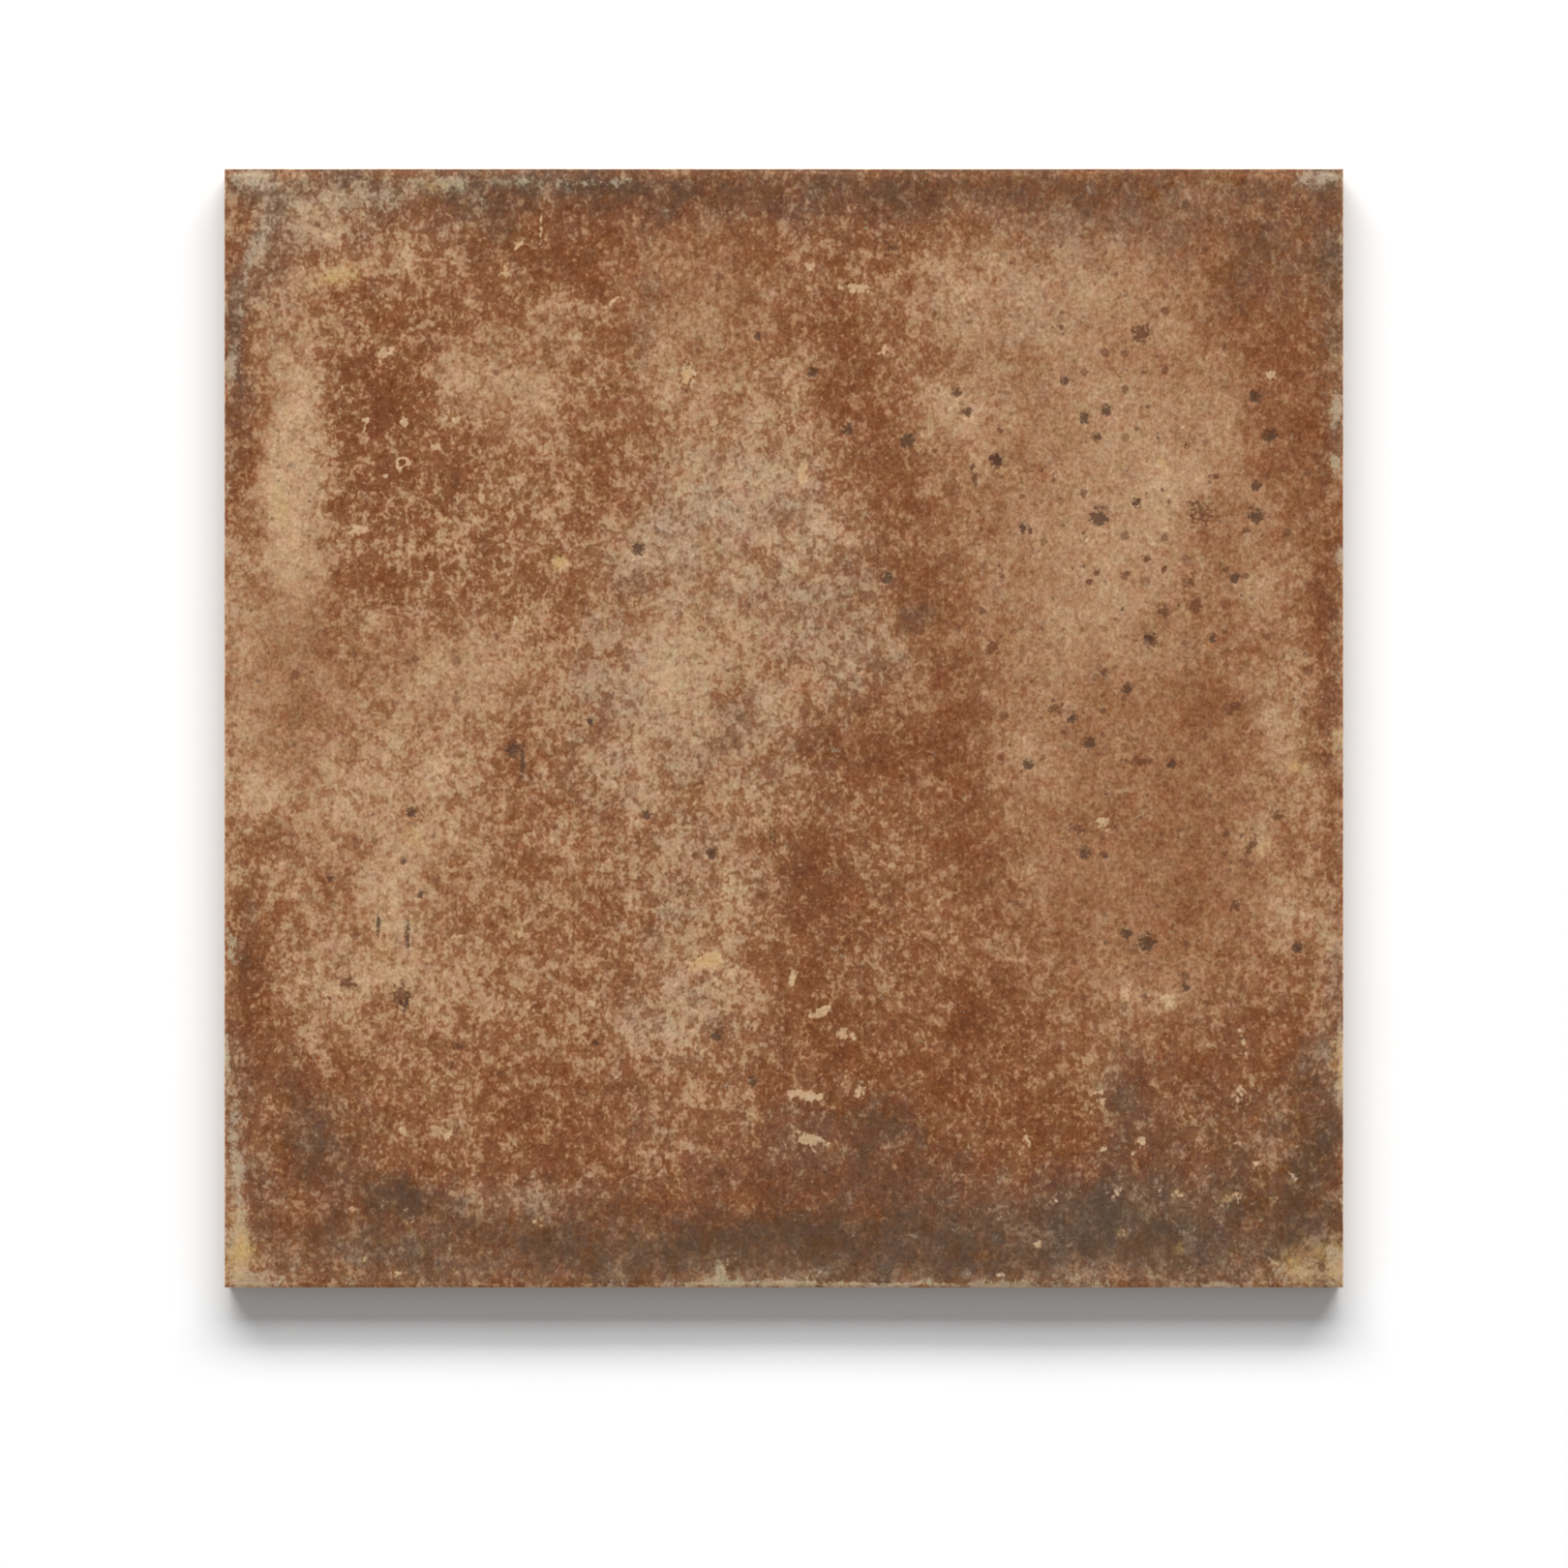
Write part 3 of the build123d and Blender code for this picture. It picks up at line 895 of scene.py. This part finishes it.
def shapeFace(mesh):
    # wave the worn edge, sink the pits and give the clay its slight relief
    points = vectorsOf(mesh.vertices, "co")
    x, y, z = points.T.copy()
    bandTop = faceLevel - tileShape["wearDepth"]
    height = np.clip((z - bandTop) / tileShape["wearDepth"], 0, 1)
    share = 1 - np.sqrt(1 - height * height)
    moveX, moveY = np.zeros_like(x), np.zeros_like(y)
    for name, (inX, inY) in inwards.items():
        along = x * inY - y * inX
        gap = halfSide - tileShape["wearWidth"] * share + x * inX + y * inY
        near = np.clip(1 - gap / tileShape["blend"], 0, 1) ** 2
        moved = share * near * wornIn(np.clip((along / halfSide + 1) / 2, 0, 1), *wornSides[name])
        moveX += inX * moved
        moveY += inY * moved
    acrossPhoto = photoMiddle[0] + x / metresPerPixel
    downPhoto = photoMiddle[1] - y / metresPerPixel
    sink = np.zeros_like(x)
    for across, down, radius, depth in pits.values():
        near = patchRadius(across, down, radius, radius, 0, acrossPhoto, downPhoto)
        near /= relief["pitRound"]
        sink = np.maximum(sink, depth * mm * np.clip(1 - near * near, 0, 1) ** relief["pitBowl"])
    uneven = relief["rough"] * dentsAt(points, relief["roughWave"], 11)
    uneven += relief["swell"] * dentsAt(points, relief["swellWave"], 12)
    z = np.where(z > bandTop + hair, np.minimum(z + height * uneven - sink, faceLevel), z)
    side = (z > tileShape["footArris"] - hair) & (z <= bandTop + hair)
    dent = np.where(side, relief["sideDent"] * dentsAt(points, relief["sideWave"], 13), 0)
    x = (x + moveX) * (1 + dent / halfSide)
    y = (y + moveY) * (1 + dent / halfSide)
    mesh.vertices.foreach_set("co", np.column_stack((x, y, z)).ravel())
    mesh.update()


def paintShoulderLightAndShade(mesh):
    # painted light and shade: the worn shoulder's colour is darkened where it turns to the lamps
    # and painted paler where it turns away from them, so that the shoulder shows no shading
    _, north, up = vectorsOf(mesh.vertex_normals, "vector").T
    key, sky = studio["keyLevel"], studio["worldLevel"]
    lit = sky * (1 + up) / 2
    for rise, _, share in northLamps.values():
        lit = lit + share * key * np.maximum(0, up + north / math.tan(math.radians(rise)))
    below = faceLevel - vectorsOf(mesh.vertices, "co")[:, 2]
    drop = smooth(relief["paintedLightFrom"], relief["paintedLightFull"], below)
    # painted light and shade: the factor that cancels the lamps' light on each point of the
    # shoulder
    paintedLevel = np.clip((key + sky) / np.maximum(lit, hair), relief["paintedLightLow"], relief["paintedLightHigh"])
    keepOnPoints(mesh, "paintedLightAndShade", 1 + drop * (paintedLevel - 1))


mesh = bpy.data.meshes.new("rusticTile")
for face in bm.faces:
    face.smooth = face.calc_center_median().z > tileShape["footArris"]
bm.to_mesh(mesh)
bm.free()
paintFace(mesh)
shapeFace(mesh)
# painted light and shade on the worn shoulder
paintShoulderLightAndShade(mesh)
rusticTile = bpy.data.objects.new("rusticTile", mesh)
bpy.context.scene.collection.objects.link(rusticTile)
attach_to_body(rusticTile, "root")
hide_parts("tile")
print("tile shaped")


# The worn clay finish

clayLook = {
    "film": [(103, 54, 22), (126, 75, 42), (147, 99, 65),
             (168, 125, 91), (185, 147, 113), (202, 167, 132)],
    "burnt": [(80, 54, 35), (97, 70, 50), (138, 108, 84)],
    "ochre": (198, 160, 104),
    "chalk": (182, 160, 132),
    "spot": (206, 172, 136),
    "stain": (102, 61, 38),
    "pit": (76, 50, 34),
    "pitDepth": 0.82,  # how fully a pit's colour covers the clay
    "curl": 1.5,  # how far the flecks are bent
    "stretch": (1, 0.82, 1),
    "tear": 1.6,  # how far the outlines of small marks are torn
    "fleckLevel": 0.57,
    "fleckEdge": 0.34,
    "fleckContrast": 2.7,
    "fleckStep": 0.52,  # how much paler a fleck is than its ground
    "ground": 0.10,
    "groundRise": 0.37,
    "dustContrast": 0.6,  # fine unevenness of the flecks and their ground
    "veilContrast": 0.8,  # the same where the film is soft
    "mottleContrast": 1.4,
    "mottleVeil": 0.42,
    "cloudContrast": 0.35,
    "shown": (0, 0.8, 0.2, 0.8),  # soft film from, to; share of the chance marks there
    "grain": 0.8,
    "grainTint": (0.85, 1.0, 1.15),  # the grain is grey beside the clay
    "tinge": 0.2,  # slight patches of pink and olive
    "tint": (0.965, 0.95, 0.925),  # the whole finish beside the colours above
    "rust": 0.15,  # how the depth of colour varies from place to place
    "burntRust": 0.9,
    "ashTint": (1.12, 0.98, 0.76),
    "bare": [(166, 126, 92), (192, 154, 118), (205, 172, 138)],
    "bareFrom": -0.9,  # the bare clay's edge beside the top of the joint band, in millimetres
    "bareTo": 0.2,
    "bareRag": 5.0,
    "bareContrast": 2.0,
    "roughness": (0.74, 0.88),  # on bare ground and on full film
    "specular": 0.2,
    "bump": 0.3,
    "bumpHigh": 0.15 * mm,
    "bumpFilm": 0.5,
}

# The noise under the finish: widest wave in millimetres, detail, roughness, seed
clayWaves = {
    "wander": (5, 2, 0.6, 1),
    "fleck": (1.9, 1, 0.8, 2),
    "cloud": (22, 1, 0.6, 3),
    "mottle": (7, 2, 0.7, 4),
    "patchy": (12, 5, 0.75, 5),
    "ashen": (9, 5, 0.75, 6),
    "yellowed": (7, 4, 0.7, 7),
    "grain": (1.2, 1, 0.8, 8),
    "rusty": (6, 4, 0.85, 9),
    "ragged": (1.3, 1, 0.8, 10),
    "dust": (1.6, 1, 1.0, 12),
    "chipped": (4, 4, 0.85, 13),
}

# How noise breaks the edge of what is painted: amount of noise, painted strength from which it
# shows, strength at which it is full, the most that it covers
raggedEdges = {
    "burn": (1.6, 0.0, 1.0, 1.0),
    "ash": (1.6, 0.0, 1.1, 0.5),
    "ochre": (1.4, 0.1, 1.1, 0.8),
    "chalk": (3.0, 0.3, 0.8, 0.8),
    "spot": (1.2, 0.38, 0.62, 0.85),
    "stain": (1.2, 0.32, 0.64, 0.85),
    "pit": (1.0, 0.42, 0.75, 1.0),
}

# Small marks that fall by chance: spacing and greatest reach in millimetres, how rare the large
# ones are, a shift that keeps them apart
chanceMarks = {
    "island": (2.9, 1.3, 5, (31.0, 17.0, 0.0)),
    "salt": (1.7, 0.6, 4, (13.0, 41.0, 0.0)),
    "smear": (6.0, 1.9, 5, (0.0, 0.0, 0.0)),
    "crumb": (3.1, 0.85, 6, (0.0, 0.0, 0.0)),
}


def newNode(tree, kind, **settings):
    node = tree.nodes.new(kind)
    for name, value in settings.items():
        setattr(node, name, value)
    return node


def attach(tree, source, socket):
    # a number is set on the socket, anything else is linked to it
    if isinstance(source, (int, float, tuple)):
        socket.default_value = source
    else:
        tree.links.new(source, socket)


def feed(tree, node, *sources):
    for socket, source in zip(node.inputs, sources):
        attach(tree, source, socket)
    return node.outputs[0]


def mathOf(tree, operation, first, second=0.0, third=0.0):
    return feed(tree, newNode(tree, "ShaderNodeMath", operation=operation), first, second, third)


def vectorOf(tree, operation, *sources):
    return feed(tree, newNode(tree, "ShaderNodeVectorMath", operation=operation), *sources)


def rangeOf(tree, value, low, high, outLow=0.0, outHigh=1.0, kind="SMOOTHSTEP"):
    node = newNode(tree, "ShaderNodeMapRange", interpolation_type=kind)
    return feed(tree, node, value, low, high, outLow, outHigh)


def between(tree, share, first, second):
    # first where the share is 0, second where it is 1
    return rangeOf(tree, share, 0, 1, first, second, "LINEAR")


def mixOf(tree, factor, first, second):
    node = newNode(tree, "ShaderNodeMix", data_type="RGBA")
    attach(tree, factor, node.inputs[0])
    attach(tree, first, node.inputs[6])
    attach(tree, second, node.inputs[7])
    return node.outputs[2]


def noiseOf(tree, place, name):
    # place is in millimetres, and each seed reads the noise elsewhere
    size, detail, roughness, seed = clayWaves[name]
    node = newNode(tree, "ShaderNodeTexNoise")
    shifted = vectorOf(tree, "ADD", place, (seed * 37.1, seed * 11.7, seed * 5.3))
    attach(tree, shifted, node.inputs["Vector"])
    node.inputs["Scale"].default_value = 1 / size
    node.inputs["Detail"].default_value = detail
    node.inputs["Roughness"].default_value = roughness
    return node


def aroundZero(tree, place, name):
    return mathOf(tree, "SUBTRACT", noiseOf(tree, place, name).outputs["Fac"], 0.5)


def rampOf(tree, value, colours):
    node = newNode(tree, "ShaderNodeValToRGB")
    ramp = node.color_ramp
    while len(ramp.elements) < len(colours):
        ramp.elements.new(0.5)
    for index, colour in enumerate(colours):
        ramp.elements[index].position = index / (len(colours) - 1)
        ramp.elements[index].color = srgb(*colour)
    attach(tree, value, node.inputs[0])
    return node.outputs[0]


def attributeOf(tree, name):
    return newNode(tree, "ShaderNodeAttribute", attribute_name=name).outputs["Fac"]


def raggedOf(tree, name, wobble):
    # a painted strength whose edge is broken up by noise
    amount, low, high, most = raggedEdges[name]
    value = mathOf(tree, "MULTIPLY_ADD", wobble, amount, attributeOf(tree, name))
    return rangeOf(tree, value, low, high, 0.0, most)


def specksOf(tree, place, name):
    cell, reach, rarity, shift = chanceMarks[name]
    cells = newNode(tree, "ShaderNodeTexVoronoi", voronoi_dimensions="2D")
    attach(tree, vectorOf(tree, "ADD", place, shift), cells.inputs["Vector"])
    cells.inputs["Scale"].default_value = 1 / cell
    chance = newNode(tree, "ShaderNodeSeparateColor")
    attach(tree, cells.outputs["Color"], chance.inputs[0])
    size = mathOf(tree, "POWER", chance.outputs[0], rarity)
    size = mathOf(tree, "MULTIPLY_ADD", size, reach / cell, 0.001)
    mark = rangeOf(tree, cells.outputs["Distance"], size, mathOf(tree, "MULTIPLY", size, 0.5))
    return mathOf(tree, "MULTIPLY", mark, between(tree, chance.outputs[1], 0.4, 1.0))


def wornClay():
    material = bpy.data.materials.new("wornClay")
    material.use_nodes = True
    tree = material.node_tree
    shader = tree.nodes["Principled BSDF"]
    look = clayLook
    metres = newNode(tree, "ShaderNodeTexCoord").outputs["Object"]
    place = vectorOf(tree, "MULTIPLY", metres, (1 / mm,) * 3)

    # the flecks curl because the noise under them is bent by a wider one
    wander = noiseOf(tree, place, "wander").outputs["Color"]
    wander = vectorOf(tree, "SUBTRACT", wander, (0.5, 0.5, 0.5))
    curled = vectorOf(tree, "MULTIPLY_ADD", wander, (look["curl"],) * 3, place)
    curled = vectorOf(tree, "MULTIPLY", curled, look["stretch"])
    fleck, mottle, cloud, patchy, dust = (
        aroundZero(tree, curled, name) for name in ("fleck", "mottle", "cloud", "patchy", "dust"))
    ragged = noiseOf(tree, place, "ragged")
    torn = vectorOf(tree, "MULTIPLY_ADD", ragged.outputs["Color"], (look["tear"],) * 3, place)
    tear = mathOf(tree, "SUBTRACT", ragged.outputs["Fac"], 0.5)
    soft = attributeOf(tree, "soft")
    film = mathOf(tree, "MULTIPLY_ADD", cloud, look["cloudContrast"], attributeOf(tree, "film"))

    # crisp flecks of film on bare ground, both paler where more film lies
    worn = mathOf(tree, "MULTIPLY_ADD", fleck, look["fleckContrast"], film)
    worn = mathOf(tree, "MULTIPLY_ADD", mottle, look["mottleContrast"], worn)
    flecks = rangeOf(tree, worn, look["fleckLevel"] - look["fleckEdge"],
                     look["fleckLevel"] + look["fleckEdge"])
    for name in ("salt", "island"):
        flecks = mathOf(tree, "MAXIMUM", flecks, specksOf(tree, torn, name))
    crisp = mathOf(tree, "MULTIPLY_ADD", flecks, look["fleckStep"], look["ground"])
    crisp = mathOf(tree, "MULTIPLY_ADD", film, look["groundRise"], crisp)
    covered = between(tree, soft, crisp, film)
    dustContrast = between(tree, soft, look["dustContrast"], look["veilContrast"])
    covered = mathOf(tree, "MULTIPLY_ADD", dust, dustContrast, covered)
    covered = mathOf(tree, "MULTIPLY_ADD", mottle, look["mottleVeil"], covered)
    clay = rampOf(tree, covered, look["film"])

    # burnt zones, ochre, rubbed chalky edges and the single flecks
    burn = raggedOf(tree, "burn", patchy)
    colour = mixOf(tree, burn, clay, rampOf(tree, covered, look["burnt"]))
    yellow = srgb(*look["ochre"])
    ochre = raggedOf(tree, "ochre", aroundZero(tree, curled, "yellowed"))
    colour = mixOf(tree, mathOf(tree, "MULTIPLY", ochre, covered), colour, yellow)
    for name, wobble in (("chalk", aroundZero(tree, curled, "chipped")), ("spot", fleck)):
        pale = mixOf(tree, ochre, srgb(*look[name]), yellow)
        colour = mixOf(tree, raggedOf(tree, name, wobble), colour, pale)

    # stains and pits: the large ones are painted, small ones fall by chance, mostly in soft film
    shown = rangeOf(tree, soft, *look["shown"])
    smear = mathOf(tree, "MULTIPLY", specksOf(tree, torn, "smear"), shown)
    stain = mathOf(tree, "MAXIMUM", smear, raggedOf(tree, "stain", tear))
    colour = mixOf(tree, stain, colour, srgb(*look["stain"]))
    crumb = mathOf(tree, "MULTIPLY", specksOf(tree, torn, "crumb"), shown)
    pit = raggedOf(tree, "pit", tear)
    dark = mathOf(tree, "MULTIPLY", mathOf(tree, "MAXIMUM", crumb, pit), look["pitDepth"])
    colour = mixOf(tree, dark, colour, srgb(*look["pit"]))

    # ash greys the clay, and the depth of its colour varies
    ash = raggedOf(tree, "ash", aroundZero(tree, curled, "ashen"))
    grey = feed(tree, newNode(tree, "ShaderNodeRGBToBW"), colour)
    colour = mixOf(tree, ash, colour, vectorOf(tree, "MULTIPLY", look["ashTint"], grey))
    rusting = mathOf(tree, "MULTIPLY_ADD", burn, look["burntRust"], look["rust"])
    rust = newNode(tree, "ShaderNodeHueSaturation")
    depth = mathOf(tree, "MULTIPLY_ADD", aroundZero(tree, curled, "rusty"), rusting, 1.0)
    attach(tree, depth, rust.inputs["Saturation"])
    attach(tree, colour, rust.inputs["Color"])
    grain = aroundZero(tree, place, "grain")
    grainStrength = tuple(look["grain"] * share for share in look["grainTint"])
    tinge = vectorOf(tree, "MULTIPLY_ADD", wander, (look["tinge"],) * 3, look["tint"])
    speckle = vectorOf(tree, "MULTIPLY_ADD", grain, grainStrength, tinge)
    speckled = vectorOf(tree, "MULTIPLY", rust.outputs[0], speckle)
    # painted light and shade: the shoulder's colour darkened where it turns to the lamps and paler
    # where it turns away
    speckled = vectorOf(tree, "MULTIPLY", speckled, attributeOf(tree, "paintedLightAndShade"))

    # below the worn edge the body clay is bare
    upright = newNode(tree, "ShaderNodeSeparateXYZ")
    attach(tree, place, upright.inputs[0])
    line = (faceLevel - tileShape["wearDepth"]) / mm
    level = mathOf(tree, "MULTIPLY_ADD", patchy, look["bareRag"], upright.outputs["Z"])
    bare = rangeOf(tree, level, line + look["bareFrom"], line + look["bareTo"], 1.0, 0.0)
    body = mathOf(tree, "MULTIPLY_ADD", fleck, look["bareContrast"], 0.5)
    body = rampOf(tree, body, look["bare"])
    attach(tree, mixOf(tree, bare, speckled, body), shader.inputs["Base Color"])

    attach(tree, between(tree, covered, *look["roughness"]), shader.inputs["Roughness"])
    shader.inputs["Specular IOR Level"].default_value = look["specular"]
    bump = newNode(tree, "ShaderNodeBump")
    bump.inputs["Strength"].default_value = look["bump"]
    bump.inputs["Distance"].default_value = look["bumpHigh"]
    height = mathOf(tree, "MULTIPLY_ADD", covered, look["bumpFilm"], grain)
    attach(tree, mathOf(tree, "SUBTRACT", height, pit), bump.inputs["Height"])
    attach(tree, bump.outputs[0], shader.inputs["Normal"])
    return material


mesh.materials.append(wornClay())
print("finish made")


# Floor, light and camera

def seenByEye(tree):
    # 1 for the rays that show the floor or the sky itself, 0 for those that light the tile
    path = newNode(tree, "ShaderNodeLightPath")
    seen = mathOf(tree, "MAXIMUM", path.outputs["Is Camera Ray"], path.outputs["Is Glossy Ray"])
    return mathOf(tree, "MAXIMUM", seen, path.outputs["Is Transmission Ray"])


def makeFloor():
    bm = bmesh.new()
    bmesh.ops.create_grid(bm, x_segments=1, y_segments=1, size=studio["floorSize"] / 2)
    floorMesh = bpy.data.meshes.new("studioFloor")
    bm.to_mesh(floorMesh)
    bm.free()
    floor = bpy.data.objects.new("studioFloor", floorMesh)
    bpy.context.scene.collection.objects.link(floor)
    material = bpy.data.materials.new("studioFloor")
    material.use_nodes = True
    tree = material.node_tree
    shader = tree.nodes["Principled BSDF"]
    shader.inputs["Roughness"].default_value = 1.0
    shader.inputs["Specular IOR Level"].default_value = 0.0
    colour = mixOf(tree, seenByEye(tree), srgb(*studio["floorGrey"]), srgb(*studio["floorWhite"]))
    attach(tree, colour, shader.inputs["Base Color"])
    floorMesh.materials.append(material)


def makeLight():
    world = bpy.data.worlds.new("studioWorld")
    world.use_nodes = True
    tree = world.node_tree
    background = tree.nodes["Background"]
    strength = between(tree, seenByEye(tree), studio["worldLevel"], 1.0)
    attach(tree, strength, background.inputs["Strength"])
    background.inputs["Color"].default_value = (1, 1, 1, 1)
    bpy.context.scene.world = world

    away = studio["keyAway"]
    for name, (degrees, high, share) in northLamps.items():
        rise = math.radians(degrees)
        lampData = bpy.data.lights.new(name, "AREA")
        lampData.shape = "RECTANGLE"
        lampData.size = studio["keyWide"]
        lampData.size_y = high
        lampData.energy = share * studio["keyLevel"] * (math.pi * away) ** 2 / math.sin(rise)
        lamp = bpy.data.objects.new(name, lampData)
        lamp.location = (0, away * math.cos(rise), away * math.sin(rise))
        lamp.rotation_euler = (-lamp.location).to_track_quat("-Z", "Y").to_euler()
        bpy.context.scene.collection.objects.link(lamp)


def makeCamera():
    cameraData = bpy.data.cameras.new("camera")
    cameraData.lens = studio["lens"]
    cameraData.sensor_width = studio["sensor"]
    camera = bpy.data.objects.new("camera", cameraData)
    bandMiddle = (tileShape["footHeight"] + faceLevel - tileShape["wearDepth"]) / 2
    away = photoWidth * metresPerPixel * studio["lens"] / studio["sensor"]
    across = (photoWidth / 2 - photoMiddle[0]) * metresPerPixel
    down = (photoWidth / 2 - photoMiddle[1]) * metresPerPixel
    camera.location = (across, -down, bandMiddle + away)
    bpy.context.scene.collection.objects.link(camera)
    bpy.context.scene.camera = camera


makeFloor()
makeLight()
makeCamera()
bpy.context.scene.view_settings.view_transform = "Standard"
print("studio ready")

bpy.context.view_layer.update()
